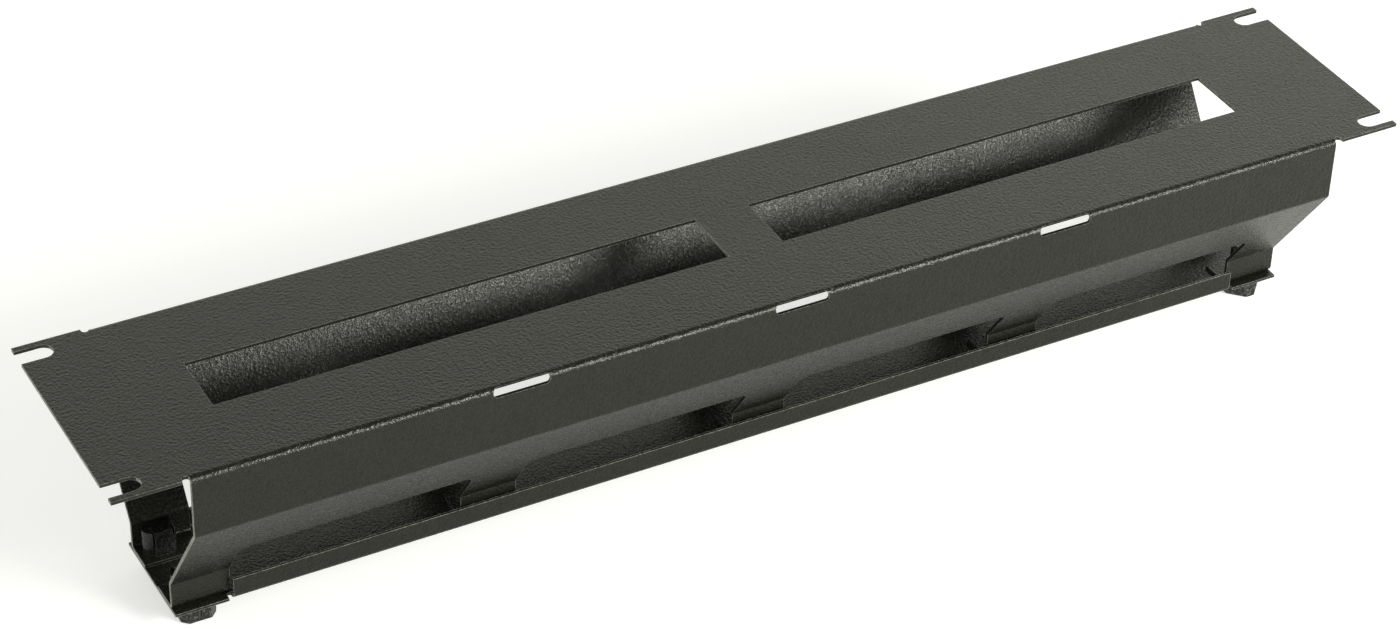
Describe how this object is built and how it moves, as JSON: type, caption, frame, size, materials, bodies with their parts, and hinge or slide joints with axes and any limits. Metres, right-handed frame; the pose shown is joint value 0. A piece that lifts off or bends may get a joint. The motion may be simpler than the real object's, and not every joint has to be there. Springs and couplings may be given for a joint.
{
  "type": "horizontal cable manager",
  "caption": "Rack panel with two windows on a sloping channel; cables leave between its tabs, and a cover with turn knobs closes the narrow side.",
  "frame": {"origin": "centre of the rack face, on its outer surface", "axes": "+X along the width, to the right in the picture; +Y across the rack face, away from the viewer; +Z out of the rack face, with the cover at the -Z end"},
  "size_m": [0.4826, 0.0882, 0.0799],
  "materials": {
    "powder_coat": "black textured powder coat, satin",
    "black_plastic": "smooth moulded black plastic, glossy"
  },
  "bodies": {
    "channel": {"channel": "powder_coat", "latch_receiver_front_left": "black_plastic", "latch_receiver_back_left": "black_plastic", "latch_receiver_front_right": "black_plastic", "latch_receiver_back_right": "black_plastic"},
    "cover": {"cover": "powder_coat"},
    "turn_knob_front_left": {"turn_knob_front_left": "black_plastic"},
    "turn_knob_back_left": {"turn_knob_back_left": "black_plastic"},
    "turn_knob_front_right": {"turn_knob_front_right": "black_plastic"},
    "turn_knob_back_right": {"turn_knob_back_right": "black_plastic"}
  },
  "joints": [
    {"name": "cover_pull", "type": "slide", "parent": "channel", "child": "cover", "axis": [0, 0, -1], "range_m": [0, 0.03]},
    {"name": "turn_knob_front_left_turn", "type": "hinge", "parent": "cover", "child": "turn_knob_front_left", "pos_m": [-0.2061, -0.0126, -0.0768], "axis": [0, 0, 1], "range_deg": [0, 90]},
    {"name": "turn_knob_back_left_turn", "type": "hinge", "parent": "cover", "child": "turn_knob_back_left", "pos_m": [-0.2061, 0.0126, -0.0768], "axis": [0, 0, 1], "range_deg": [0, 90]},
    {"name": "turn_knob_front_right_turn", "type": "hinge", "parent": "cover", "child": "turn_knob_front_right", "pos_m": [0.2061, -0.0126, -0.0768], "axis": [0, 0, 1], "range_deg": [-45, 45]},
    {"name": "turn_knob_back_right_turn", "type": "hinge", "parent": "cover", "child": "turn_knob_back_right", "pos_m": [0.2061, 0.0126, -0.0768], "axis": [0, 0, 1], "range_deg": [0, 90]}
  ]
}
